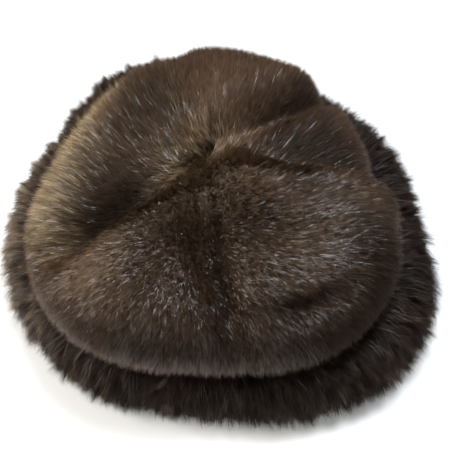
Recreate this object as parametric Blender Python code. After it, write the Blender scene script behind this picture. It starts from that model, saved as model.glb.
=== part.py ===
"""Faux fur hat: five fur gores sewn from an apex down to the head band, and a turned-up fur cuff around it.

Metres, +Z up, the front of the hat at -Y. Every gore is one wall of knitted backing with the fur's outer
form on it, as rows of staggered locks that lean away from the apex. The cuff is a padded ring with longer
locks, flat underneath where the hat stands. Inside, the hat is open from its hem to the dome.
"""

from collections import namedtuple

import bpy
import numpy as np

# Driving dimensions, in metres.
OPENING_WIDTH = 0.180  # inside the head band, left to right
OPENING_DEPTH = 0.190  # inside the head band, front to back
BACKING = 0.003  # knitted backing with its seam allowance
CROWN_OVERHANG = 0.0155  # the crown's backing past the head band, where the crown is widest
CROWN_DROOP = 0.0150  # from the widest line down to the waist, where the crown tucks in behind the cuff
DOME_RISE = 0.0430  # from the widest line up to the dome's mean height
HEM_HEIGHT = 0.0040
APEX_LEFT = 0.0050  # how far the seams' meeting point sits beside the crown's axis
APEX_FORWARD = 0.0030
APEX_DIP = 0.0050  # how deep the gores are drawn in where they meet
APEX_HOLE = 0.0010  # radius left open there
CROWN_PILE = 0.0125
CUFF_OVERHANG = 0.0315  # the cuff's backing past the head band
CUFF_HEIGHT = 0.0310  # the cuff's backing
GROOVE_HEIGHT = 0.0070  # the cuff's fur between its backing and the crown's waist
FOOT_WIDTH = 0.0200  # the flat underside of the cuff
CUFF_PILE = 0.0165
CUFF_LIFT = 0.0006  # the lowest locks stay just off the floor
RIM_GAP = 0.0040  # past the crown's rim the cuff's fur may stand higher than the waist
CLEARANCE = 0.0003  # between pieces that touch
LOCK_LENGTH = 0.0165
LOCK_WIDTH = 0.0165
CUFF_LOCK_LENGTH = 0.0150
CUFF_LOCK_WIDTH = 0.0150

# Seams from the apex down, counter-clockwise from above, bearing 0 to the right and 270 to the front.
# swing is the turn from the apex to the widest line. depth and ridge are shares of CROWN_HEIGHT, width
# and beside shares of the crown's reach: the fold is depth deep and width wide, with a ridge beside it.
# It runs from the apex to end, 1 at the widest line.
Seam = namedtuple("Seam", "gore bearing swing depth width ridge beside end")
SEAMS = (
    Seam("gore_back_right", 347, 15, 0.120, 0.12, 0.095, -0.17, 1.12),
    Seam("gore_back", 44, 2, 0.120, 0.09, 0.040, 0.18, 1.12),
    Seam("gore_left", 122, -10, 0.045, 0.14, 0.010, -0.20, 1.12),
    Seam("gore_front", 221, -4, 0.250, 0.14, 0.110, 0.18, 0.92),
    Seam("gore_right", 260, 18, 0.090, 0.09, 0.020, 0.20, 1.12),
)

# The crown's outline from above and its height, as shares of its mean reach and of CROWN_HEIGHT.
Outline = namedtuple("Outline", "bearing reach height")
CROWN_OUTLINE = (
    Outline(0, 0.81, 0.97),
    Outline(30, 0.865, 0.97),
    Outline(60, 0.90, 0.99),
    Outline(90, 0.95, 1.03),
    Outline(120, 0.925, 1.08),
    Outline(150, 0.81, 0.92),
    Outline(180, 0.83, 0.93),
    Outline(210, 1.13, 0.96),
    Outline(240, 1.19, 1.01),
    Outline(270, 1.07, 1.01),
    Outline(300, 1.17, 1.02),
    Outline(330, 1.08, 1.00),
)

# Dents and swells of the crown: along runs 0 at the apex to 1 at the widest and 2 at the waist, across and
# down are sizes as shares of the crown's reach, and rise is a share of CROWN_HEIGHT.
Swell = namedtuple("Swell", "place bearing along across down rise")
SWELLS = (
    Swell("left dish", 196, 0.44, 0.34, 0.20, -0.150),
    Swell("left rim", 178, 0.76, 0.60, 0.16, 0.050),
    Swell("front lobe", 246, 0.60, 0.30, 0.34, 0.045),
    Swell("right lobe", 320, 0.58, 0.40, 0.34, 0.040),
    Swell("right shoulder crease", 297, 0.67, 0.22, 0.06, -0.070),
    Swell("back right flat", 24, 0.60, 0.24, 0.34, -0.070),
)

# The cuff's outline from above and its top edge, as shares of its mean reach and of CUFF_HEIGHT.
CUFF_OUTLINE = (
    Outline(0, 0.95, 1.00),
    Outline(30, 1.00, 1.05),
    Outline(60, 0.96, 1.08),
    Outline(90, 1.00, 1.13),
    Outline(120, 1.20, 1.26),
    Outline(150, 0.94, 1.04),
    Outline(180, 1.02, 1.03),
    Outline(210, 1.05, 0.98),
    Outline(240, 1.05, 0.96),
    Outline(270, 0.96, 0.94),
    Outline(300, 1.11, 0.94),
    Outline(330, 1.16, 0.96),
)

# Each piece's fur colour and sheen.
Finish = namedtuple("Finish", "red green blue roughness sheen")
FINISHES = {
    "gore_back_right": Finish(0.060, 0.043, 0.031, 0.62, 0.25),
    "gore_back": Finish(0.078, 0.056, 0.039, 0.60, 0.28),
    "gore_left": Finish(0.088, 0.066, 0.042, 0.58, 0.30),
    "gore_front": Finish(0.072, 0.051, 0.036, 0.56, 0.30),
    "gore_right": Finish(0.064, 0.047, 0.036, 0.54, 0.32),
    "cuff": Finish(0.046, 0.033, 0.024, 0.68, 0.22),
}

DOME_SQUARENESS = 0.82  # 1 is an ellipse, less is boxier
OUTLINE_SHARPNESS = 12.0  # how closely an outline keeps to its table's rows
DIP_SIZE = 0.18  # the dip at the apex, as a share of the crown's reach
FUR_START = 0.006  # where the fur starts and ends along a gore
FUR_END = 1.60
CUFF_TOP_ANGLE = 1.95  # where the cuff's fur starts in the groove and ends at the foot, as angles
CUFF_FOOT_ANGLE = -0.95  # around its section, 0 outwards
CUFF_FULL_ANGLE = 0.80  # where the fur reaches its whole length
ROOT_RISE = 0.38  # heights of a lock's roots, its tip and the notch beside it, as shares of the pile
NOTCH_RISE = 0.62
SEAM_RISE = 0.46  # the fur parts along the seams, and stands up where they meet at the apex
APEX_RISE = 0.85
FOLD_START = 0.24  # the folds deepen from the apex to here
FOLD_FADE = 0.55  # and fade out from this share of their length to their ends
SWELL_FADE = 1.50  # the swells fade out from here to the waist
TIP_LEAD = 0.18  # how far a tip leans past the next roots and a notch stays behind, as shares of a row
NOTCH_LEAD = -0.30
SHORT_FUR = 0.15  # share of the pile that is left in the groove and the tuck
FUR_TAPER = 0.45  # how far along the crown the pile shortens before it ends
INNER_TOP = 0.85  # where the cuff's inner face ends below the groove, as a share of its height
CREASE_ANGLE = 35.0  # edges sharper than this, in degrees, stay sharp in the shading

WAIST_HEIGHT = CUFF_HEIGHT + GROOVE_HEIGHT
WIDEST_HEIGHT = WAIST_HEIGHT + CROWN_DROOP
CROWN_HEIGHT = WIDEST_HEIGHT + DOME_RISE
BAND_REACH = (OPENING_WIDTH + OPENING_DEPTH) / 4 + BACKING
CROWN_REACH = BAND_REACH + CROWN_OVERHANG
CUFF_REACH = BAND_REACH + CUFF_OVERHANG


def around(table, column, bearing):
    """A column of an outline table at any bearing, smooth and closed."""
    angles = np.radians([row.bearing for row in table])
    values = np.array([getattr(row, column) for row in table])
    apart = np.angle(np.exp(1j * (np.asarray(bearing)[..., None] - angles)))
    weight = np.exp(OUTLINE_SHARPNESS * (np.cos(apart) - 1.0))
    return (weight * values).sum(-1) / weight.sum(-1)


def band_radius(bearing):
    """The outside of the oval head band."""
    a = OPENING_WIDTH / 2 + BACKING
    b = OPENING_DEPTH / 2 + BACKING
    return a * b / np.hypot(b * np.cos(bearing), a * np.sin(bearing))


def crown_profile(bearing, along):
    """Reach and height of the backing: an arc over the dome, one under to the waist, then the band."""
    outline = CROWN_REACH * around(CROWN_OUTLINE, "reach", bearing)
    crest = CROWN_HEIGHT * around(CROWN_OUTLINE, "height", bearing)
    band = band_radius(bearing)
    over = np.clip(along, 0.0, 1.0) * np.pi / 2
    under = np.clip(along - 1.0, 0.0, 1.0) * np.pi / 2
    down = np.clip(along - 2.0, 0.0, 1.0)
    dome_reach = outline * np.sin(over) ** DOME_SQUARENESS
    dome_height = WIDEST_HEIGHT + (crest - WIDEST_HEIGHT) * np.cos(over) ** DOME_SQUARENESS
    tuck_reach = band + (outline - band) * np.cos(under)
    tuck_height = WIDEST_HEIGHT - (WIDEST_HEIGHT - WAIST_HEIGHT) * np.sin(under)
    reach = np.where(along > 1.0, tuck_reach, dome_reach)
    height = np.where(along > 1.0, tuck_height, dome_height) - down * (WAIST_HEIGHT - HEM_HEIGHT)
    dip = APEX_DIP * np.exp(-((reach / (DIP_SIZE * CROWN_REACH)) ** 2))
    return reach, height - dip


def turned(along):
    """How much of its swing a seam has made: easing out from the apex to the widest line."""
    return np.sin(np.clip(along, 0.0, 1.0) * np.pi / 2)


def crown_folds(bearing, along, reach):
    """How far the folds at the seams, the ridges beside them and the broad swells move the wall out."""
    share = reach / CROWN_REACH
    starts = np.clip(along / FOLD_START, 0.0, 1.0)
    swelled = np.clip((2.0 - along) / (2.0 - SWELL_FADE), 0.0, 1.0)
    move = np.zeros_like(share)
    for seam in SEAMS:
        middle = np.radians(seam.bearing + seam.swing * turned(along))
        across = share * np.angle(np.exp(1j * (bearing - middle)))
        fold = np.exp(-((across / seam.width) ** 2))
        ridge = np.exp(-2 * ((across / seam.beside - 1.0) ** 2))
        shown = starts * np.clip((1.0 - along / seam.end) / (1.0 - FOLD_FADE), 0.0, 1.0)
        move += shown * (seam.ridge * ridge - seam.depth * fold)
    for swell in SWELLS:
        across = share * np.angle(np.exp(1j * (bearing - np.radians(swell.bearing))))
        away = (across / swell.across) ** 2 + ((along - swell.along) / swell.down) ** 2
        move += swell.rise * np.exp(-away) * swelled
    return move * CROWN_HEIGHT


def crown_point(bearing, along, rise):
    """A point of the crown, rise above its backing along the outward direction of the wall."""
    step = 0.01
    before = np.clip(along - step, 0.0, 3.0)
    reach, height = crown_profile(bearing, along)
    reach_0, height_0 = crown_profile(bearing, before)
    reach_1, height_1 = crown_profile(bearing, before + 2 * step)
    length = np.hypot(reach_1 - reach_0, height_1 - height_0)
    move = crown_folds(bearing, along, reach) + rise
    reach = np.maximum(reach + move * (height_0 - height_1) / length, APEX_HOLE)
    height = height + move * (reach_1 - reach_0) / length
    height = np.where(along < 2.0, np.maximum(height, WAIST_HEIGHT), height)
    aside = np.clip(1.0 - along, 0.0, 1.0)
    x = reach * np.cos(bearing) - APEX_LEFT * aside
    y = reach * np.sin(bearing) - APEX_FORWARD * aside
    return np.stack([x, y, height], -1)


def thatch(rows, columns, pile, first_rise):
    """Rise and lead of every ring of lock points: staggered tips stand out and lean over the next roots."""
    rise = np.full((2 * rows + 1, 2 * columns + 1), ROOT_RISE)
    rise[0] = first_rise
    lead = np.zeros_like(rise)
    across = np.arange(2 * columns + 1)
    for row in range(rows):
        tip = (across + row) % 2 == 1
        rise[2 * row + 1] = np.where(tip, 1.0, NOTCH_RISE)
        lead[2 * row + 1] = np.where(tip, TIP_LEAD, NOTCH_LEAD)
    return rise * pile, lead


def loft(name, sections, caps):
    """One body through closed sections of equal length: capped at both ends, or a ring without caps."""
    count = len(sections)
    size = len(sections[0])
    faces = []
    for i in range(count - 1 if caps else count):
        here = i * size
        there = (i + 1) % count * size
        for j in range(size):
            k = (j + 1) % size
            faces.append((here + j, here + k, there + k, there + j))
    for cap in caps:
        faces.append(tuple(reversed(cap)))
        faces.append(tuple((count - 1) * size + j for j in cap))
    mesh = bpy.data.meshes.new(name)
    mesh.from_pydata(np.concatenate(sections).tolist(), [], faces)
    return mesh


def gore_rows():
    """Where the rows of locks start along every gore, evenly spaced down the crown's mean profile."""
    fine = np.linspace(FUR_START, FUR_END, 400)
    reach, height = crown_profile(np.zeros_like(fine), fine)
    travel = np.concatenate([[0.0], np.cumsum(np.hypot(np.diff(reach), np.diff(height)))])
    rows = round(travel[-1] / LOCK_LENGTH)
    return np.interp(np.linspace(0.0, travel[-1], rows + 1), travel, fine)


def gore_mesh(seam, following):
    """A fur gore between two seams: lock rows outside, the plain backing inside, sewn edges as its caps."""
    row_at = gore_rows()
    rows = len(row_at) - 1
    start = np.radians(seam.bearing)
    width = np.radians((following.bearing - seam.bearing) % 360)
    columns = round(width * CROWN_REACH / LOCK_WIDTH)
    rise, lead = thatch(rows, columns, CROWN_PILE, APEX_RISE)
    for edge in (0, -1):
        rise[1::2, edge] = SEAM_RISE * CROWN_PILE
        lead[1::2, edge] = NOTCH_LEAD
    row_of = (np.arange(2 * rows + 1) + 1) // 2
    pitch = np.gradient(row_at)[row_of]
    inside = np.concatenate([[3.0, 2.0], row_at[::-1]])
    sections = []
    for i in range(2 * columns + 1):
        outside = row_at[row_of] + lead[:, i] * pitch
        taper = np.clip((FUR_END - outside) / FUR_TAPER, SHORT_FUR, 1.0)
        along = np.concatenate([outside, [2.0, 3.0], inside])
        up = np.concatenate([rise[:, i] * taper, [0.0, 0.0], np.full(len(inside), -BACKING)])
        swung = turned(along)
        reach, _ = crown_profile(np.full_like(along, start + width / 2), along)
        slack = np.arcsin(CLEARANCE / 2 / np.maximum(reach, 2 * APEX_HOLE))
        left = start + np.radians(seam.swing) * swung + slack
        right = start + width + np.radians(following.swing) * swung - slack
        sections.append(crown_point(left + (right - left) * i / (2 * columns), along, up))
    last = len(sections[0]) - 1
    hem = 2 * rows + 1
    caps = []
    for k in range(rows):
        caps.append((2 * k, 2 * k + 1, last - k))
        caps.append((2 * k + 1, last - k - 1, last - k))
        caps.append((2 * k + 1, 2 * k + 2, last - k - 1))
    caps.append((hem - 1, hem, hem + 3, hem + 4))
    caps.append((hem, hem + 1, hem + 2, hem + 3))
    return loft(seam.gore, sections, caps)


def cuff_section(bearing, rise, lead, row_at):
    """One closed section of the cuff: fur rows from the groove outwards and down, foot, inner face."""
    inner = band_radius(bearing) + CLEARANCE
    swell = around(CUFF_OUTLINE, "reach", bearing)
    reach = CUFF_REACH * swell
    half = CUFF_HEIGHT * around(CUFF_OUTLINE, "height", bearing) / 2
    middle = (inner + reach) / 2
    pitch = row_at[1] - row_at[0]
    angle = row_at[(np.arange(len(rise)) + 1) // 2] + lead * pitch
    grown = np.clip((CUFF_TOP_ANGLE - angle) / (CUFF_TOP_ANGLE - CUFF_FULL_ANGLE), SHORT_FUR, 1.0)
    r = middle + (reach - middle + rise * grown) * np.cos(angle)
    z = half + (half + rise * grown) * np.sin(angle)
    rim = CROWN_REACH * around(CROWN_OUTLINE, "reach", bearing) + CROWN_PILE + RIM_GAP
    z = np.clip(z, CUFF_LIFT, WAIST_HEIGHT - CLEARANCE + np.maximum(r - rim, 0.0))
    r = np.concatenate([r, [inner + FOOT_WIDTH * swell, inner, inner, inner]])
    z = np.concatenate([z, [0.0, 0.0, half, 2 * half * INNER_TOP]])
    return np.stack([r * np.cos(bearing), r * np.sin(bearing), z], -1)


def cuff_mesh():
    """The turned-up cuff: a padded ring with longer fur."""
    columns = round(2 * np.pi * CUFF_REACH / CUFF_LOCK_WIDTH)
    arc = (CUFF_TOP_ANGLE - CUFF_FOOT_ANGLE) * (CUFF_HEIGHT / 2 + CUFF_PILE * NOTCH_RISE)
    rows = round(arc / CUFF_LOCK_LENGTH)
    rise, lead = thatch(rows, columns, CUFF_PILE, ROOT_RISE)
    row_at = np.linspace(CUFF_TOP_ANGLE, CUFF_FOOT_ANGLE, rows + 1)
    bearings = np.arange(2 * columns) * np.pi / columns
    sections = [cuff_section(bearing, rise[:, i], lead[:, i], row_at) for i, bearing in enumerate(bearings)]
    return loft("cuff", sections, caps=[])


def fur_material(name):
    """A brown fur material for one piece."""
    finish = FINISHES[name]
    material = bpy.data.materials.new(name + "_fur")
    material.use_nodes = True
    shader = material.node_tree.nodes["Principled BSDF"]
    shader.inputs["Base Color"].default_value = (finish.red, finish.green, finish.blue, 1.0)
    shader.inputs["Roughness"].default_value = finish.roughness
    shader.inputs["Metallic"].default_value = 0.0
    shader.inputs["Sheen Weight"].default_value = finish.sheen
    return material


def centre_on_origin(meshes):
    """Move the meshes together so that the hat's box stands centred on the origin."""
    points = np.concatenate([[vertex.co[:] for vertex in mesh.vertices] for mesh in meshes])
    middle = (points.min(0) + points.max(0)) / 2
    for mesh in meshes:
        for vertex in mesh.vertices:
            vertex.co.x -= middle[0]
            vertex.co.y -= middle[1]


def main():
    for old in list(bpy.data.objects):
        bpy.data.objects.remove(old)
    hat = bpy.data.collections.new("faux_fur_hat")
    bpy.context.scene.collection.children.link(hat)
    meshes = [gore_mesh(seam, SEAMS[(i + 1) % len(SEAMS)]) for i, seam in enumerate(SEAMS)]
    meshes.append(cuff_mesh())
    centre_on_origin(meshes)
    for mesh in meshes:
        mesh.materials.append(fur_material(mesh.name))
        mesh.shade_smooth()
        mesh.set_sharp_from_angle(angle=np.radians(CREASE_ANGLE))
        hat.objects.link(bpy.data.objects.new(mesh.name, mesh))


main()
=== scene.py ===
"""Looks of a faux fur hat: knitted pelts with combed pile on five gores and on the turned-up cuff.

Metres, +Z up, the front of the hat at -Y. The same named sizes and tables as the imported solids' give the
backing's surfaces here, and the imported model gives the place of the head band.
"""

from collections import namedtuple

import bpy
import numpy as np
from mathutils import Matrix, Vector


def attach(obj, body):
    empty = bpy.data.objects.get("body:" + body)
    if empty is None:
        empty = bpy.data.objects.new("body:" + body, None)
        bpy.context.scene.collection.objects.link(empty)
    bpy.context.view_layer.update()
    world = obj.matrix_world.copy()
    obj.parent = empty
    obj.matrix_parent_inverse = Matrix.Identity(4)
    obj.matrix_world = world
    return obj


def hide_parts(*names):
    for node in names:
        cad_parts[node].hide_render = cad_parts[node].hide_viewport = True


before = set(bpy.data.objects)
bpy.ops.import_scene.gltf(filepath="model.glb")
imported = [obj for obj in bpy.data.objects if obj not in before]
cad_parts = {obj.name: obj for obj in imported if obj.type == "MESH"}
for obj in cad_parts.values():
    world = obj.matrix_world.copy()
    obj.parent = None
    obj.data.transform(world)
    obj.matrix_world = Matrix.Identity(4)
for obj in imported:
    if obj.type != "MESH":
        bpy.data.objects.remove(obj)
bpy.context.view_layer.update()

# Driving dimensions of the backing and its pile, in metres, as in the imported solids.
OPENING_WIDTH = 0.180
OPENING_DEPTH = 0.190
BACKING = 0.003
CROWN_OVERHANG = 0.0155
CROWN_DROOP = 0.0150
DOME_RISE = 0.0430
HEM_HEIGHT = 0.0040
APEX_LEFT = 0.0050
APEX_FORWARD = 0.0030
APEX_DIP = 0.0050
APEX_HOLE = 0.0010
CROWN_PILE = 0.0125
CUFF_OVERHANG = 0.0315
CUFF_HEIGHT = 0.0310
GROOVE_HEIGHT = 0.0070
FOOT_WIDTH = 0.0200
CUFF_PILE = 0.0165
CUFF_LIFT = 0.0006
RIM_GAP = 0.0040
CLEARANCE = 0.0003

# A seam: the gore that starts at it, its bearing at the apex and its swing in degrees, its fold's depth and
# width, the height and place of the ridge beside it, and how far down the fold runs.
Seam = namedtuple("Seam", "gore bearing swing depth width ridge beside end")
SEAMS = (
    Seam("gore_back_right", 347, 15, 0.120, 0.12, 0.095, -0.17, 1.12),
    Seam("gore_back", 44, 2, 0.120, 0.09, 0.040, 0.18, 1.12),
    Seam("gore_left", 122, -10, 0.045, 0.14, 0.010, -0.20, 1.12),
    Seam("gore_front", 221, -4, 0.250, 0.14, 0.110, 0.18, 0.92),
    Seam("gore_right", 260, 18, 0.090, 0.09, 0.020, 0.20, 1.12),
)

# Reach and height at a bearing, as shares of the crown's or the cuff's.
Outline = namedtuple("Outline", "bearing reach height")
CROWN_OUTLINE = (
    Outline(0, 0.81, 0.97),
    Outline(30, 0.865, 0.97),
    Outline(60, 0.90, 0.99),
    Outline(90, 0.95, 1.03),
    Outline(120, 0.925, 1.08),
    Outline(150, 0.81, 0.92),
    Outline(180, 0.83, 0.93),
    Outline(210, 1.13, 0.96),
    Outline(240, 1.19, 1.01),
    Outline(270, 1.07, 1.01),
    Outline(300, 1.17, 1.02),
    Outline(330, 1.08, 1.00),
)

# A broad swell or dish: its middle, how wide it is across and down the gore, and how far it rises.
Swell = namedtuple("Swell", "place bearing along across down rise")
SWELLS = (
    Swell("left dish", 196, 0.44, 0.34, 0.20, -0.150),
    Swell("left rim", 178, 0.76, 0.60, 0.16, 0.050),
    Swell("front lobe", 246, 0.60, 0.30, 0.34, 0.045),
    Swell("right lobe", 320, 0.58, 0.40, 0.34, 0.040),
    Swell("right shoulder crease", 297, 0.67, 0.22, 0.06, -0.070),
    Swell("back right flat", 24, 0.60, 0.24, 0.34, -0.070),
)

CUFF_OUTLINE = (
    Outline(0, 0.95, 1.00),
    Outline(30, 1.00, 1.05),
    Outline(60, 0.96, 1.08),
    Outline(90, 1.00, 1.13),
    Outline(120, 1.20, 1.26),
    Outline(150, 0.94, 1.04),
    Outline(180, 1.02, 1.03),
    Outline(210, 1.05, 0.98),
    Outline(240, 1.05, 0.96),
    Outline(270, 0.96, 0.94),
    Outline(300, 1.11, 0.94),
    Outline(330, 1.16, 0.96),
)

# Shares and angles that shape the surfaces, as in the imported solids.
DOME_SQUARENESS = 0.82
OUTLINE_SHARPNESS = 12.0
DIP_SIZE = 0.18
FUR_START = 0.006
FUR_END = 1.60
CUFF_TOP_ANGLE = 1.95
CUFF_FOOT_ANGLE = -0.95
CUFF_FULL_ANGLE = 0.80
ROOT_RISE = 0.38
SHORT_FUR = 0.15
FUR_TAPER = 0.45
INNER_TOP = 0.85
FOLD_START = 0.24
FOLD_FADE = 0.55
SWELL_FADE = 1.50

WAIST_HEIGHT = CUFF_HEIGHT + GROOVE_HEIGHT
WIDEST_HEIGHT = WAIST_HEIGHT + CROWN_DROOP
CROWN_HEIGHT = WIDEST_HEIGHT + DOME_RISE
BAND_REACH = (OPENING_WIDTH + OPENING_DEPTH) / 4 + BACKING
CROWN_REACH = BAND_REACH + CROWN_OVERHANG
CUFF_REACH = BAND_REACH + CUFF_OVERHANG

# The pile: sizes in metres, rises as shares of the pile's height over the backing.
ROOT_DEPTH = 0.16  # where the strands start, as a share of the pile
PELT_RISE = 0.24  # the pelt's underfur, as a share of the pile
HIDDEN_SHARE = 0.35  # the pile's density in the tuck, the groove and under the cuff
PELT_GRID = 0.0045  # the pelts' mesh
PILE_END = 1.86  # how far along a gore the short pile goes on, down the tuck
PILE_LAST = 1.98  # how far along its strands may reach, to the waist
TUCK_HIDDEN = 1.45  # how far along the tuck is out of sight, and over how much it goes
TUCK_HIDES_OVER = 0.30
CUFF_SHOWS_OVER = 0.5  # how far round from each end the cuff's pile comes into sight
WHOLE_TURN = 2 * np.pi  # no limit to where the cuff's strands reach
HEM_ROWS = 8  # rows of the pelt from the pile's end to the hem
CUFF_ROWS = 22
PATCH_STEPS = 400  # how finely a patch's lengths are measured

# Stations along a gore, after the apex at 0 and the widest line at 1.
WAIST_AT = 2.0
HEM_AT = 3.0

# The camera and how the photograph frames the hat.
IMAGE_SIZE = 470
CAMERA_ELEVATION = 53.0
CAMERA_DISTANCE = 0.60
CAMERA_ROLL = 2.5
ORIGIN_PIXEL = (220, 236)  # where the origin falls in the photograph
FRAME_WIDTH = 0.326  # what the frame spans at the origin's distance


def around(table, column, bearing):
    """A column of an outline table at any bearing, smooth and closed."""
    angles = np.radians([row.bearing for row in table])
    values = np.array([getattr(row, column) for row in table])
    apart = np.angle(np.exp(1j * (np.asarray(bearing)[..., None] - angles)))
    weight = np.exp(OUTLINE_SHARPNESS * (np.cos(apart) - 1.0))
    return (weight * values).sum(-1) / weight.sum(-1)


def band_radius(bearing):
    """The outside of the oval head band."""
    a = OPENING_WIDTH / 2 + BACKING
    b = OPENING_DEPTH / 2 + BACKING
    return a * b / np.hypot(b * np.cos(bearing), a * np.sin(bearing))


def crown_profile(bearing, along):
    """Reach and height of the backing: an arc over the dome, one under to the waist, then the band."""
    outline = CROWN_REACH * around(CROWN_OUTLINE, "reach", bearing)
    crest = CROWN_HEIGHT * around(CROWN_OUTLINE, "height", bearing)
    band = band_radius(bearing)
    over = np.clip(along, 0.0, 1.0) * np.pi / 2
    under = np.clip(along - 1.0, 0.0, 1.0) * np.pi / 2
    down = np.clip(along - WAIST_AT, 0.0, 1.0)
    dome_reach = outline * np.sin(over) ** DOME_SQUARENESS
    dome_height = WIDEST_HEIGHT + (crest - WIDEST_HEIGHT) * np.cos(over) ** DOME_SQUARENESS
    tuck_reach = band + (outline - band) * np.cos(under)
    tuck_height = WIDEST_HEIGHT - (WIDEST_HEIGHT - WAIST_HEIGHT) * np.sin(under)
    reach = np.where(along > 1.0, tuck_reach, dome_reach)
    height = np.where(along > 1.0, tuck_height, dome_height) - down * (WAIST_HEIGHT - HEM_HEIGHT)
    dip = APEX_DIP * np.exp(-((reach / (DIP_SIZE * CROWN_REACH)) ** 2))
    return reach, height - dip


def turned(along):
    """How much of its swing a seam has made: easing out from the apex to the widest line."""
    return np.sin(np.clip(along, 0.0, 1.0) * np.pi / 2)


def crown_folds(bearing, along, reach):
    """How far the folds at the seams, the ridges beside them and the broad swells move the wall out."""
    share = reach / CROWN_REACH
    starts = np.clip(along / FOLD_START, 0.0, 1.0)
    swelled = np.clip((WAIST_AT - along) / (WAIST_AT - SWELL_FADE), 0.0, 1.0)
    move = np.zeros_like(share)
    for seam in SEAMS:
        middle = np.radians(seam.bearing + seam.swing * turned(along))
        across = share * np.angle(np.exp(1j * (bearing - middle)))
        fold = np.exp(-((across / seam.width) ** 2))
        ridge = np.exp(-2 * ((across / seam.beside - 1.0) ** 2))
        shown = starts * np.clip((1.0 - along / seam.end) / (1.0 - FOLD_FADE), 0.0, 1.0)
        move += shown * (seam.ridge * ridge - seam.depth * fold)
    for swell in SWELLS:
        across = share * np.angle(np.exp(1j * (bearing - np.radians(swell.bearing))))
        away = (across / swell.across) ** 2 + ((along - swell.along) / swell.down) ** 2
        move += swell.rise * np.exp(-away) * swelled
    return move * CROWN_HEIGHT


def crown_point(bearing, along, rise):
    """A point of the crown, rise above its backing along the outward direction of the wall."""
    step = 0.01
    before = np.clip(along - step, 0.0, HEM_AT)
    reach, height = crown_profile(bearing, along)
    reach_0, height_0 = crown_profile(bearing, before)
    reach_1, height_1 = crown_profile(bearing, before + 2 * step)
    length = np.hypot(reach_1 - reach_0, height_1 - height_0)
    move = crown_folds(bearing, along, reach) + rise
    reach = np.maximum(reach + move * (height_0 - height_1) / length, APEX_HOLE)
    height = height + move * (reach_1 - reach_0) / length
    height = np.where(along < WAIST_AT, np.maximum(height, WAIST_HEIGHT), height)
    aside = np.clip(1.0 - along, 0.0, 1.0)
    x = reach * np.cos(bearing) - APEX_LEFT * aside
    y = reach * np.sin(bearing) - APEX_FORWARD * aside
    return np.stack([x, y, height], -1) + BAND_CENTRE


def cuff_point(bearing, angle, rise):
    """A point of the cuff, rise above its backing at an angle around its section, 0 outwards."""
    inner = band_radius(bearing) + CLEARANCE
    reach = CUFF_REACH * around(CUFF_OUTLINE, "reach", bearing)
    half = CUFF_HEIGHT * around(CUFF_OUTLINE, "height", bearing) / 2
    middle = (inner + reach) / 2
    r = middle + (reach - middle + rise) * np.cos(angle)
    rim = CROWN_REACH * around(CROWN_OUTLINE, "reach", bearing) + CROWN_PILE + RIM_GAP
    ceiling = WAIST_HEIGHT - CLEARANCE + np.maximum(r - rim, 0.0)
    z = np.clip(half + (half + rise) * np.sin(angle), CUFF_LIFT, ceiling)
    return np.stack([r * np.cos(bearing), r * np.sin(bearing), z], -1) + BAND_CENTRE


def band_centre():
    """Where the head band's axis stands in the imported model: the middle of the gores' lowest edges."""
    edge = 0.0002
    hem = []
    for seam in SEAMS:
        points = np.array([vertex.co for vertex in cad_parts[seam.gore].data.vertices])
        hem.append(points[points[:, 2] < points[:, 2].min() + edge])
    hem = np.concatenate(hem)
    middle = (hem.min(0) + hem.max(0)) / 2
    return np.array([middle[0], middle[1], 0.0])


BAND_CENTRE = band_centre()
APEX = BAND_CENTRE + np.array([-APEX_LEFT, -APEX_FORWARD, CROWN_HEIGHT])


def gore_fur_share(along):
    """How much of its height the pile has along a gore: it shortens in the tuck."""
    return np.clip((FUR_END - along) / FUR_TAPER, SHORT_FUR, 1.0)


def cuff_fur_share(angle):
    """How much of its height the pile has around the cuff: it is short in the groove."""
    return np.clip((CUFF_TOP_ANGLE - angle) / (CUFF_TOP_ANGLE - CUFF_FULL_ANGLE), SHORT_FUR, 1.0)


class Patch:
    """A stretch of backing with pile on it: share runs 0 to 1 across it and travel runs in metres down it.

    Growth is the share of the strands that root before each step: they are fewer where they don't show.
    """

    def __init__(self, point, place, low, high, last, pile, fur_share, shows):
        self.point = point
        self.place = place
        self.last = last
        self.pile = pile
        self.fur_share = fur_share
        steps = np.linspace(low, high, PATCH_STEPS)
        middle = self.point(self.place(0.5, steps), steps, np.full_like(steps, pile * ROOT_RISE))
        hops = np.linalg.norm(np.diff(middle, axis=0), axis=1)
        self.steps = steps
        self.travel = np.concatenate([[0.0], np.cumsum(hops)])
        left = self.point(self.place(0.0, steps), steps, np.zeros_like(steps))
        right = self.point(self.place(1.0, steps), steps, np.zeros_like(steps))
        centre = self.point(self.place(0.5, steps), steps, np.zeros_like(steps))
        self.arc = np.linalg.norm(centre - left, axis=1) + np.linalg.norm(right - centre, axis=1)
        weight = HIDDEN_SHARE + (1 - HIDDEN_SHARE) * shows(steps)
        each = self.arc * weight
        growth = np.concatenate([[0.0], np.cumsum((each[1:] + each[:-1]) / 2 * hops)])
        self.area = growth[-1]
        self.growth = growth / growth[-1]

    def at(self, share, travel, rise):
        """The point at a share, a travel and a rise, which may lie a little past the patch's ends."""
        slope = (self.steps[-1] - self.steps[-2]) / (self.travel[-1] - self.travel[-2])
        along = np.interp(travel, self.travel, self.steps)
        along = np.minimum(along + np.maximum(travel - self.travel[-1], 0.0) * slope, self.last)
        return self.point(self.place(share, along), along, rise)

    def height(self, travel):
        """The pile's height over the backing at a travel."""
        return self.pile * self.fur_share(np.interp(travel, self.travel, self.steps))


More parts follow.
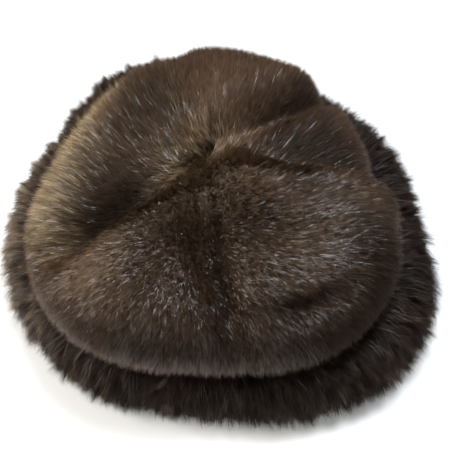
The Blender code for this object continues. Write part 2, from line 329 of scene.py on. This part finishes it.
def gore_patch(seam, following):
    """The patch between two seams of the crown."""
    start = np.radians(seam.bearing)
    width = np.radians((following.bearing - seam.bearing) % 360)

    def place(share, along):
        left = start + np.radians(seam.swing) * turned(along)
        right = start + width + np.radians(following.swing) * turned(along)
        return left + (right - left) * share

    def shows(along):
        return np.clip((TUCK_HIDDEN - along) / TUCK_HIDES_OVER, 0.0, 1.0)

    return Patch(crown_point, place, FUR_START, PILE_END, PILE_LAST, CROWN_PILE, gore_fur_share, shows)


def cuff_patch(start, width):
    """A sector of the cuff, its travel running from the groove outwards and down to the floor."""
    full_turn = CUFF_TOP_ANGLE - CUFF_FOOT_ANGLE

    def place(share, turn):
        return start + width * share + 0.0 * turn

    def point(bearing, turn, rise):
        return cuff_point(bearing, CUFF_TOP_ANGLE - turn, rise)

    def fur_share(turn):
        return cuff_fur_share(CUFF_TOP_ANGLE - turn)

    def shows(turn):
        starts = np.clip(turn / CUFF_SHOWS_OVER, 0.0, 1.0)
        return starts * np.clip((full_turn - turn) / CUFF_SHOWS_OVER, 0.0, 1.0)

    return Patch(point, place, 0.0, full_turn, WHOLE_TURN, CUFF_PILE, fur_share, shows)


def mesh_of(name, points, faces):
    """A mesh object from points and an array of triangles or quads."""
    mesh = bpy.data.meshes.new(name)
    mesh.vertices.add(len(points))
    mesh.vertices.foreach_set("co", np.asarray(points, np.float32).ravel())
    mesh.loops.add(faces.size)
    mesh.loops.foreach_set("vertex_index", np.asarray(faces, np.int32).ravel())
    mesh.polygons.add(len(faces))
    mesh.polygons.foreach_set("loop_start", np.arange(0, faces.size, faces.shape[1], dtype=np.int32))
    mesh.update(calc_edges=True)
    piece = bpy.data.objects.new(name, mesh)
    bpy.context.scene.collection.objects.link(piece)
    return piece


WAVE_PITCH = 2.2  # the waves' steepness at a size of one
TUFT_PLACES = (0.1, 0.9)  # where in its cell a tuft's middle may lie


def waves(rng, size, count=9):
    """A smooth random field over space, about -1 to 1, with features of a size in metres."""
    vectors = rng.normal(size=(count, 3)) / size * WAVE_PITCH
    phases = rng.uniform(0, 2 * np.pi, count)
    return lambda points: np.sin(points @ vectors.T + phases).sum(-1) / np.sqrt(count)


def tufts(patch, share, travel, size, rng):
    """For every strand its tuft: which, and how far its middle lies from the root in share and travel."""
    rows = int(np.ceil(patch.travel[-1] / size)) + 1
    arc = np.interp((np.arange(rows) + 0.5) * size, patch.travel, patch.arc)
    counts = np.maximum(np.round(arc / size), 1).astype(int)
    widest = counts.max()
    jitter = rng.uniform(*TUFT_PLACES, (rows, widest, 2))
    arc_here = np.interp(travel, patch.travel, patch.arc)
    best = np.full(len(share), np.inf)
    which = np.zeros(len(share), int)
    to_share = np.zeros(len(share))
    to_travel = np.zeros(len(share))
    for row_step in (-1, 0, 1):
        row = np.clip((travel / size).astype(int) + row_step, 0, rows - 1)
        for column_step in (-1, 0, 1):
            column = np.clip((share * counts[row]).astype(int) + column_step, 0, counts[row] - 1)
            share_gap = (column + jitter[row, column, 0]) / counts[row] - share
            travel_gap = (row + jitter[row, column, 1]) * size - travel
            apart = np.hypot(share_gap * arc_here, travel_gap)
            nearer = apart < best
            best = np.where(nearer, apart, best)
            which = np.where(nearer, row * widest + column, which)
            to_share = np.where(nearer, share_gap, to_share)
            to_travel = np.where(nearer, travel_gap, to_travel)
    return which, to_share, to_travel, rows * widest


def unit(vectors):
    """The vectors at a length of one."""
    return vectors / np.maximum(np.linalg.norm(vectors, axis=-1, keepdims=True), 1e-9)


TONES = 64  # tone columns of the strands' colour map
TONE_EDGES = (0.2, 0.8)  # where in its column a ribbon's two edges lie
TONE_MIDDLE = 0.5
MAP_MARGIN = 0.02  # how far the strands keep from the map's lower and upper ends
KNOT_SIZE = 0.011  # around the apex the fur lies in a whorl, turned inwards at its middle
KNOT_TURN = 2.1
FOLD_FLATTENS = 0.50  # how much less the fur stands, down in the deepest fold
RIM_FLATTENS = 0.24  # and at the crown's rim, from and over these stations
RIM_FROM = 0.55
RIM_OVER = 0.35

# How the strands differ. Combed: the size of the waves, and how far they turn the strands. Each tuft's
# spread grows with the coat's looseness. The stand keeps between its limits.
COMBED = ((0.030, 0.14), (0.009, 0.10))
TUFT_ASIDE, STRAND_ASIDE = 0.13, 0.12
TUFT_LENGTH, STRAND_LENGTH = 0.12, 0.16
WAVE_STAND, WAVE_STAND_SIZE, TUFT_STAND, STRAND_STAND = 0.08, 0.014, 0.09, 0.10
LEAST_STAND, MOST_STAND = 0.45, 1.15
TUFT_TURN = 0.25
WAVE_TONE, WAVE_TONE_SIZE, TUFT_TONE, STRAND_TONE = 0.06, 0.030, 0.09, 0.13
DRAWN = 0.40  # how far a strand's tip is drawn to its tuft's middle, times the looseness
DRAWN_BEND = 1.4  # how that and the rise grow along the strand
RISE_BEND = 1.35
STRAND_ROLL = 0.60  # the ribbons' spread about their length, in radians
WIDTHS = (0.7, 1.35)  # and of their widths, as shares
OUTWARD, FACING, SCATTER = 0.72, 0.28, 0.14  # the surface's, the ribbon's and a random part of the normals
SURFACE_AT = 0.7  # where in the pile that surface is taken
SURFACE_STEP = 0.002

# A coat of fur: how many strands, the stations along each and the ribbon's width at all but the tip, how
# far it lies along the patch, its tufts' spacing and looseness, how high it stands, how pale it is, its
# gloss, and how much thinner it grows where shade is painted on the pile.
Coat = namedtuple(
    "Coat", "strands stations widths reach width tuft loose stand tone roughness specular thinned"
)
STRAIGHT = ((0.0, 1.0), (1.0,))
BENT = ((0.0, 0.5, 1.0), (0.7, 1.0))
# The guard coats are paler than the underfur: partly the guard hairs' own colour, partly painted glints.
CROWN_UNDER = Coat(400000, *STRAIGHT, 0.0070, 0.00031, 0.0015, 1.4, 0.77, 0.36, 0.50, 0.08, 0.0)
CROWN_GUARD = Coat(195000, *STRAIGHT, 0.0052, 0.00022, 0.0015, 1.7, 0.90, 0.50, 0.22, 0.70, 1.8)
CUFF_UNDER = Coat(250000, *STRAIGHT, 0.0098, 0.00035, 0.0038, 1.8, 0.69, 0.34, 0.55, 0.08, 0.0)
CUFF_GUARD = Coat(34000, *BENT, 0.0112, 0.00022, 0.0042, 2.1, 0.80, 0.38, 0.34, 0.20, 0.0)
DEEPEST = max(seam.depth for seam in SEAMS)


def folded(bearing, along, reach):
    """How far a point is down in a fold at a seam, 0 to 1."""
    share = reach / CROWN_REACH
    starts = np.clip(along / FOLD_START, 0.0, 1.0)
    deep = np.zeros_like(share)
    for seam in SEAMS:
        middle = np.radians(seam.bearing + seam.swing * turned(along))
        across = share * np.angle(np.exp(1j * (bearing - middle)))
        shown = starts * np.clip((1.0 - along / seam.end) / (1.0 - FOLD_FADE), 0.0, 1.0)
        deep += shown * seam.depth / DEEPEST * np.exp(-((across / seam.width) ** 2))
    return np.clip(deep, 0.0, 1.0)


def pile(name, patch, seed, count, coat, painted_spots):
    """One coat of a patch, as a mesh of tapered ribbons combed along the patch and drawn into tufts."""
    rng = np.random.default_rng(seed)
    share = rng.random(count)
    travel = np.interp((np.arange(count) + rng.random(count)) / count, patch.growth, patch.travel)
    along = np.interp(travel, patch.travel, patch.steps)
    # A coat grows thinner where the spots paint shade on the pile.
    kept = rng.random(count) < 1 + coat.thinned * painted_light_and_shade(painted_spots, patch.place(share, along), along)
    share, travel, along = share[kept], travel[kept], along[kept]
    count = len(share)
    arc = np.maximum(np.interp(travel, patch.travel, patch.arc), coat.tuft)
    bearing = patch.place(share, along)
    which, to_share, to_travel, total = tufts(patch, share, travel, coat.tuft, rng)
    roots = patch.at(share, travel, patch.height(travel) * ROOT_DEPTH)

    loose = coat.loose
    combed = sum(waves(rng, size)(roots) * turn for size, turn in COMBED)
    aside = combed + rng.normal(0, TUFT_ASIDE * loose, total)[which] + rng.normal(0, STRAND_ASIDE, count)
    longer = rng.normal(0, TUFT_LENGTH * loose, total)[which] + rng.normal(0, STRAND_LENGTH, count)
    length = coat.reach * (1 + longer)
    stand = coat.stand + WAVE_STAND * waves(rng, WAVE_STAND_SIZE)(roots)
    stand = stand + rng.normal(0, TUFT_STAND * loose, total)[which]
    stand = np.clip(stand + rng.normal(0, STRAND_STAND, count), LEAST_STAND, MOST_STAND)
    at_knot = np.zeros(count)
    if patch.point is crown_point:
        at_knot = np.exp(-((travel / KNOT_SIZE) ** 2))
        stand *= 1 - FOLD_FLATTENS * folded(bearing, along, np.hypot(*(roots - BAND_CENTRE).T[:2]))
        stand *= 1 - RIM_FLATTENS * np.clip((along - RIM_FROM) / RIM_OVER, 0.0, 1.0)
    from_apex = unit((roots - APEX)[:, :2])
    turn = KNOT_TURN * at_knot + rng.normal(0, TUFT_TURN, total)[which]
    whorl = np.zeros((count, 3))
    whorl[:, 0] = length * (np.cos(turn) * from_apex[:, 0] - np.sin(turn) * from_apex[:, 1])
    whorl[:, 1] = length * (np.sin(turn) * from_apex[:, 0] + np.cos(turn) * from_apex[:, 1])

    path = []
    for station in coat.stations:
        pull = DRAWN * loose * station**DRAWN_BEND
        moved_share = share + pull * to_share + aside * length * station / arc
        moved_travel = travel + pull * to_travel + length * station
        rise = ROOT_DEPTH + (stand - ROOT_DEPTH) * (1 - (1 - station) ** RISE_BEND)
        place = patch.at(moved_share, moved_travel, patch.height(moved_travel) * rise)
        whorled = roots + whorl * station
        whorled[:, 2] += patch.height(travel) * (rise - ROOT_DEPTH)
        path.append(place + (whorled - place) * at_knot[:, None])

    top = patch.height(travel) * SURFACE_AT
    here = patch.at(share, travel, top)
    across = patch.at(share + SURFACE_STEP / arc, travel, top) - here
    down = patch.at(share, travel + SURFACE_STEP, top) - here
    outward = unit(np.cross(down, across))

    tangent = unit(path[-1] - path[0])
    side = unit(np.cross(tangent, outward))
    roll = rng.normal(0, STRAND_ROLL, count)[:, None]
    side = side * np.cos(roll) + np.cross(tangent, side) * np.sin(roll)
    half = coat.width / 2 * rng.uniform(*WIDTHS, count)[:, None]
    corners = []
    heights = []
    for place, wide, station in zip(path, coat.widths, coat.stations):
        corners.append(place - side * half * wide)
        corners.append(place + side * half * wide)
        heights += [MAP_MARGIN + (1 - 2 * MAP_MARGIN) * station] * 2
    corners.append(path[-1])
    heights.append(1 - MAP_MARGIN)
    rungs = len(coat.widths)
    ribbon = [[2 * rungs - 2, 2 * rungs - 1, 2 * rungs]]
    for k in range(rungs - 1):
        ribbon.append([2 * k, 2 * k + 1, 2 * k + 3])
        ribbon.append([2 * k, 2 * k + 3, 2 * k + 2])
    size = 2 * rungs + 1
    faces = (np.arange(count)[:, None, None] * size + np.array(ribbon)).reshape(-1, 3)
    piece = mesh_of(name, np.stack(corners, 1).reshape(-1, 3), faces)

    # The tone takes in the spots' painted light and shade.
    tone = coat.tone + WAVE_TONE * waves(rng, WAVE_TONE_SIZE)(roots) + painted_light_and_shade(painted_spots, bearing, along)
    tone = tone + rng.normal(0, TUFT_TONE * loose, total)[which] + rng.normal(0, STRAND_TONE, count)
    tone = np.clip(tone, 0.0, 1.0)
    column = np.floor(tone * (TONES - 1))[:, None]
    u = (column + np.array([*TONE_EDGES] * rungs + [TONE_MIDDLE])) / TONES
    v = np.broadcast_to(np.array(heights), u.shape)
    uv = np.stack([u, v], -1).reshape(-1, 2)[faces.ravel()]
    layer = piece.data.uv_layers.new(name="OFBake")
    layer.data.foreach_set("uv", np.asarray(uv, np.float32).ravel())

    facing = unit(np.cross(side, tangent))
    facing *= np.where((facing * outward).sum(-1, keepdims=True) < 0, -1.0, 1.0)
    normal = unit(outward * OUTWARD + facing * FACING + rng.normal(0, SCATTER, (count, 3)))
    piece.data.shade_smooth()
    piece.data.normals_split_custom_set_from_vertices(np.repeat(normal, size, axis=0).tolist())
    return piece


def pelt_of(name, outside, inside):
    """A closed pelt from grids of outer and inner points, rows down and columns across."""
    grid = np.concatenate([outside, inside[::-1]])
    rows, columns = grid.shape[:2]
    index = np.arange(rows * columns).reshape(rows, columns)
    below = np.roll(index, -1, axis=0)
    quads = np.stack([index[:, :-1], below[:, :-1], below[:, 1:], index[:, 1:]], -1).reshape(-1, 4)
    piece = mesh_of(name, grid.reshape(-1, 3), quads)
    piece.data.shade_smooth()
    return piece


def gore_pelt(name, patch):
    """The knitted backing of a gore with its short underfur, down to the hem."""
    columns = int(patch.arc.max() / PELT_GRID)
    rows = int(patch.travel[-1] / PELT_GRID)
    down = np.interp(np.linspace(0, 1, rows), patch.travel / patch.travel[-1], patch.steps)
    along = np.concatenate([down, np.linspace(PILE_END, HEM_AT, HEM_ROWS + 1)[1:]])
    share = np.linspace(0.0, 1.0, columns)
    grid_share, grid_along = np.meshgrid(share, along)
    bearing = patch.place(grid_share, grid_along)
    rise = CROWN_PILE * PELT_RISE * gore_fur_share(grid_along) * (grid_along < WAIST_AT)
    outside = crown_point(bearing, grid_along, rise)
    inside = crown_point(bearing, grid_along, np.full_like(grid_along, -BACKING))
    return pelt_of(name, outside, inside)


def cuff_pelt():
    """The cuff's backing with its short underfur, flat underneath."""
    columns = int(2 * np.pi * CUFF_REACH / PELT_GRID)
    bearings = np.linspace(0, 2 * np.pi, columns)
    bearing, angle = np.meshgrid(bearings, np.linspace(CUFF_TOP_ANGLE, CUFF_FOOT_ANGLE, CUFF_ROWS))
    outside = cuff_point(bearing, angle, CUFF_PILE * PELT_RISE * cuff_fur_share(angle))
    inner = band_radius(bearings) + CLEARANCE
    swell = around(CUFF_OUTLINE, "reach", bearings)
    height = CUFF_HEIGHT * around(CUFF_OUTLINE, "height", bearings)
    rest = []
    for radius, z in (
        (inner + FOOT_WIDTH * swell, 0 * inner),
        (inner, 0 * inner),
        (inner, height / 2),
        (inner, height * INNER_TOP),
    ):
        rest.append(np.stack([radius * np.cos(bearings), radius * np.sin(bearings), z], -1) + BAND_CENTRE)
    return pelt_of("cuff_pelt", outside, np.array(rest[::-1]))


def ramp(nodes, links, source, stops):
    """A colour ramp driven by a socket, from (place, colour) stops."""
    node = nodes.new("ShaderNodeValToRGB")
    links.new(source, node.inputs["Fac"])
    elements = node.color_ramp.elements
    while len(elements) < len(stops):
        elements.new(0.5)
    for element, (place, colour) in zip(elements, stops):
        element.position = place
        element.color = (*colour, 1.0)
    return node.outputs["Color"]


LIGHT_AT = 0.7  # where on the colour map the light fibres' colour is
# Dark roots to pale tips: partly the fibres' own colour, partly painted shade deep in the pile.
ROOT_DYE_AND_DEPTH_SHADE = ((0.0, 0.08), (0.5, 0.55), (1.0, 1.5))  # up a strand: place and shade


def pile_material(name, dark, light, tip, roughness, specular):
    """Glossy dyed fibres: tone across the colour map, with painted light and shade in it; dark roots to
    light tips up it, partly dye and partly painted shade deep in the pile.
    """
    material = bpy.data.materials.new(name)
    material.use_nodes = True
    nodes = material.node_tree.nodes
    links = material.node_tree.links
    shader = nodes["Principled BSDF"]
    place = nodes.new("ShaderNodeUVMap")
    place.uv_map = "OFBake"
    axes = nodes.new("ShaderNodeSeparateXYZ")
    links.new(place.outputs["UV"], axes.inputs[0])
    tone = ramp(nodes, links, axes.outputs["X"], ((0.0, dark), (LIGHT_AT, light), (1.0, tip)))
    shades = [(height, (shade,) * 3) for height, shade in ROOT_DYE_AND_DEPTH_SHADE]
    depth = ramp(nodes, links, axes.outputs["Y"], shades)
    mixed = nodes.new("ShaderNodeMix")
    mixed.data_type = "RGBA"
    mixed.blend_type = "MULTIPLY"
    mixed.inputs["Factor"].default_value = 1.0
    links.new(tone, mixed.inputs["A"])
    links.new(depth, mixed.inputs["B"])
    links.new(mixed.outputs["Result"], shader.inputs["Base Color"])
    shader.inputs["Roughness"].default_value = roughness
    shader.inputs["Specular IOR Level"].default_value = specular
    return material


# The pelts' short fibres: how fine and broken the noise is, the shade at two of its levels, and its relief.
FIBRE_SCALE, FIBRE_DETAIL = 900.0, 4.0
FIBRE_SHADES = ((0.3, 0.4), (0.7, 1.0))
FIBRE_RELIEF, FIBRE_DEPTH = 0.6, 0.0008
FIBRE_ROUGHNESS = 0.9


def pelt_material(name, colour):
    """Dark underfur over a knitted ground, with short fibres as fine noise."""
    material = bpy.data.materials.new(name)
    material.use_nodes = True
    nodes = material.node_tree.nodes
    links = material.node_tree.links
    shader = nodes["Principled BSDF"]
    place = nodes.new("ShaderNodeTexCoord")
    noise = nodes.new("ShaderNodeTexNoise")
    noise.inputs["Scale"].default_value = FIBRE_SCALE
    noise.inputs["Detail"].default_value = FIBRE_DETAIL
    links.new(place.outputs["Object"], noise.inputs["Vector"])
    shades = [(level, tuple(c * shade for c in colour)) for level, shade in FIBRE_SHADES]
    links.new(ramp(nodes, links, noise.outputs["Fac"], shades), shader.inputs["Base Color"])
    bump = nodes.new("ShaderNodeBump")
    bump.inputs["Strength"].default_value = FIBRE_RELIEF
    bump.inputs["Distance"].default_value = FIBRE_DEPTH
    links.new(noise.outputs["Fac"], bump.inputs["Height"])
    links.new(bump.outputs["Normal"], shader.inputs["Normal"])
    shader.inputs["Roughness"].default_value = FIBRE_ROUGHNESS
    return material


# Strand colours of each piece: dark and light fibres, and the palest.
Dye = namedtuple("Dye", "dark light tip")
BROWN = Dye((0.022, 0.0115, 0.0068), (0.092, 0.052, 0.029), (0.26, 0.175, 0.110))
# A paler, yellower copy of the brown: painted light on the left gore, which faces the key lamp.
PAINTED_LIT_BROWN = Dye((0.022, 0.0120, 0.0066), (0.110, 0.069, 0.037), (0.50, 0.385, 0.235))
# A darker copy of the brown: painted shade on the cuff under the crown's overhang.
PAINTED_SHADE_BROWN = Dye((0.0085, 0.0042, 0.0030), (0.031, 0.0178, 0.0118), (0.21, 0.155, 0.108))
# The left gore takes the copy with painted light, the cuff the copy with painted shade.
DYES = {
    "gore_back_right": BROWN,
    "gore_back": BROWN,
    "gore_left": PAINTED_LIT_BROWN,
    "gore_front": BROWN,
    "gore_right": BROWN,
    "cuff": PAINTED_SHADE_BROWN,
}
# How many guard hairs a gore has, as a share of an even coat.
GLOSSY = {
    "gore_back_right": 0.55,
    "gore_back": 0.22,
    "gore_left": 0.50,
    "gore_front": 1.45,
    "gore_right": 1.45,
}

# Painted light and shade: where the pile is painted paler or darker, places as the swells', tone in shares
# of the colour map.
Spot = namedtuple("Spot", "place bearing along across down tone")
CROWN_PAINTED_LIGHT = (
    Spot("knot", 0, 0.00, 9.0, 0.10, 0.55),
    Spot("below the knot", 258, 0.13, 0.80, 0.10, 0.46),
    Spot("front lobe", 252, 0.42, 0.34, 0.24, 0.12),
    Spot("right lobe", 298, 0.35, 0.34, 0.20, 0.18),
    Spot("right shoulder", 326, 0.62, 0.26, 0.18, -0.20),
    Spot("left rim", 196, 0.64, 0.52, 0.17, 0.46),
    Spot("left rim above", 155, 0.66, 0.34, 0.14, 0.40),
    Spot("back", 92, 0.62, 0.50, 0.30, -0.14),
    Spot("left dish", 200, 0.33, 0.40, 0.16, -0.42),
    Spot("front valley", 216, 0.31, 0.20, 0.18, -0.50),
    Spot("back left", 146, 0.33, 0.56, 0.28, -0.48),
    Spot("front ridge", 235, 0.48, 0.12, 0.26, 0.40),
    Spot("front rim", 255, 1.02, 0.60, 0.10, 0.20),
    Spot("right ridge", 342, 0.38, 0.13, 0.24, 0.30),
    Spot("right rim", 340, 0.85, 0.30, 0.12, 0.25),
    Spot("back right", 14, 0.38, 0.32, 0.32, -0.46),
    Spot("back right crease", 47, 0.42, 0.07, 0.34, -0.60),
    Spot("front crease", 273, 0.42, 0.05, 0.34, -0.45),
    Spot("right shoulder crease", 297, 0.60, 0.17, 0.03, -0.70),
    Spot("front low", 256, 0.84, 0.55, 0.15, -0.34),
    Spot("right low", 318, 0.92, 0.55, 0.24, -0.70),
)
# On the cuff: painted light on its left side, and painted light from the floor along its foot in front.
CUFF_PAINTED_LIGHT = (
    Spot("cuff left", 185, 1.20, 0.80, 0.70, 0.62),
    Spot("cuff foot in front", 262, 2.45, 0.60, 0.35, 0.40),
)


def painted_light_and_shade(painted_spots, bearing, along):
    """How much paler the pile is painted at a bearing and along a patch: painted light and shade."""
    tone = np.zeros_like(along)
    for spot in painted_spots:
        across = np.angle(np.exp(1j * (bearing - np.radians(spot.bearing))))
        tone += spot.tone * np.exp(-((across / spot.across) ** 2) - ((along - spot.along) / spot.down) ** 2)
    return tone


CROWN_SEED, CUFF_SEED, GUARD_SEED = 100, 200, 50


def dress(patches, names, under, guard, dyes, painted_spots, seed):
    """Both coats on every patch, the strands shared out by the area that shows."""
    whole = sum(patch.area for patch in patches)
    pieces = []
    for i, (name, patch, dye) in enumerate(zip(names, patches, dyes)):
        both = []
        glossy = GLOSSY.get(name, 1.0)
        for coat, kind, own, part in ((under, "_pile", 0, 1.0), (guard, "_guard", GUARD_SEED, glossy)):
            count = int(coat.strands * patch.area / whole * part)
            fur = pile(name + kind, patch, seed + own + i, count, coat, painted_spots)
            fur.data.materials.append(pile_material(fur.name, *dye, coat.roughness, coat.specular))
            both.append(fur)
        print(name, "triangles", [len(fur.data.polygons) for fur in both])
        pieces.append(both)
    return pieces


def stand_for(pieces, node):
    """The pieces ride the hat's body in place of a node."""
    for piece in pieces:
        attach(piece, "root")
        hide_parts(node)


def dress_crown():
    """The gores' pelts and fur, in place of their solids."""
    patches = [gore_patch(seam, SEAMS[(i + 1) % len(SEAMS)]) for i, seam in enumerate(SEAMS)]
    names = [seam.gore for seam in SEAMS]
    dyes = [DYES[name] for name in names]
    furs = dress(patches, names, CROWN_UNDER, CROWN_GUARD, dyes, CROWN_PAINTED_LIGHT, CROWN_SEED)
    for name, patch, dye, fur in zip(names, patches, dyes, furs):
        pelt = gore_pelt(name + "_pelt", patch)
        pelt.data.materials.append(pelt_material(pelt.name, dye.dark))
        stand_for([pelt] + fur, name)


CUFF_SECTORS = ("cuff_back_right", "cuff_back_left", "cuff_front_left", "cuff_front_right")


def dress_cuff():
    """The cuff's pelt and its fur, in sectors."""
    pelt = cuff_pelt()
    # The cuff's pelt takes the darker copy of the brown, with painted shade.
    pelt.data.materials.append(pelt_material(pelt.name, PAINTED_SHADE_BROWN.dark))
    width = 2 * np.pi / len(CUFF_SECTORS)
    patches = [cuff_patch(i * width, width) for i in range(len(CUFF_SECTORS))]
    dyes = [DYES["cuff"]] * len(CUFF_SECTORS)
    furs = dress(patches, CUFF_SECTORS, CUFF_UNDER, CUFF_GUARD, dyes, CUFF_PAINTED_LIGHT, CUFF_SEED)
    stand_for([pelt] + sum(furs, []), "cuff")


def plain_material(name, colour, roughness):
    """One colour all over."""
    material = bpy.data.materials.new(name)
    material.use_nodes = True
    shader = material.node_tree.nodes["Principled BSDF"]
    shader.inputs["Base Color"].default_value = (*colour, 1.0)
    shader.inputs["Roughness"].default_value = roughness
    return material


# The studio: square soft lamps aimed at the origin, in metres and watts, and an even white surround.
Lamp = namedtuple("Lamp", "name place width power colour")
LAMPS = (
    Lamp("key", (-0.90, -0.10, 0.68), 0.50, 12.0, (1.0, 0.96, 0.89)),
    Lamp("overhead", (0.19, 0.22, 1.02), 0.36, 11.0, (0.90, 0.95, 1.0)),
    Lamp("front", (0.20, -1.00, 0.80), 0.90, 3.0, (1.0, 0.98, 0.95)),
)
SURROUND = 0.38
FLOOR_SIZE = 6.0
FLOOR_COLOUR = (0.90, 0.90, 0.90)
FLOOR_ROUGHNESS = 0.8
SENSOR_WIDTH = 36.0


def studio():
    """Pale floor, soft lights and the camera at the photograph's angle."""
    size = FLOOR_SIZE / 2
    corners = np.array([[-size, -size, 0], [size, -size, 0], [size, size, 0], [-size, size, 0]])
    floor = mesh_of("floor", corners, np.array([[0, 1, 2, 3]]))
    floor.data.materials.append(plain_material("floor_white", FLOOR_COLOUR, FLOOR_ROUGHNESS))

    for lamp in LAMPS:
        data = bpy.data.lights.new(lamp.name, "AREA")
        data.size = lamp.width
        data.energy = lamp.power
        data.color = lamp.colour
        light = bpy.data.objects.new(lamp.name, data)
        light.location = lamp.place
        light.rotation_euler = (-Vector(lamp.place)).to_track_quat("-Z", "Y").to_euler()
        bpy.context.scene.collection.objects.link(light)

    world = bpy.data.worlds.new("studio")
    world.use_nodes = True
    world.node_tree.nodes["Background"].inputs["Color"].default_value = (1.0, 1.0, 1.0, 1.0)
    world.node_tree.nodes["Background"].inputs["Strength"].default_value = SURROUND
    bpy.context.scene.world = world
    bpy.context.scene.view_settings.view_transform = "Standard"

    elevation = np.radians(CAMERA_ELEVATION)
    roll = np.radians(CAMERA_ROLL)
    back = Vector((0.0, -np.cos(elevation), np.sin(elevation)))
    right = Vector((1.0, 0.0, 0.0))
    up = back.cross(right)
    rolled_right = right * np.cos(roll) + up * np.sin(roll)
    rolled_up = up * np.cos(roll) - right * np.sin(roll)
    metres = FRAME_WIDTH / IMAGE_SIZE
    shift_right = (IMAGE_SIZE / 2 - ORIGIN_PIXEL[0]) * metres
    shift_up = (ORIGIN_PIXEL[1] - IMAGE_SIZE / 2) * metres
    matrix = Matrix((rolled_right, rolled_up, back)).transposed().to_4x4()
    matrix.translation = back * CAMERA_DISTANCE + rolled_right * shift_right + rolled_up * shift_up
    data = bpy.data.cameras.new("camera")
    data.sensor_width = SENSOR_WIDTH
    data.lens = data.sensor_width * CAMERA_DISTANCE / FRAME_WIDTH
    camera = bpy.data.objects.new("camera", data)
    camera.matrix_world = matrix
    bpy.context.scene.collection.objects.link(camera)
    bpy.context.scene.camera = camera


dress_crown()
dress_cuff()
studio()
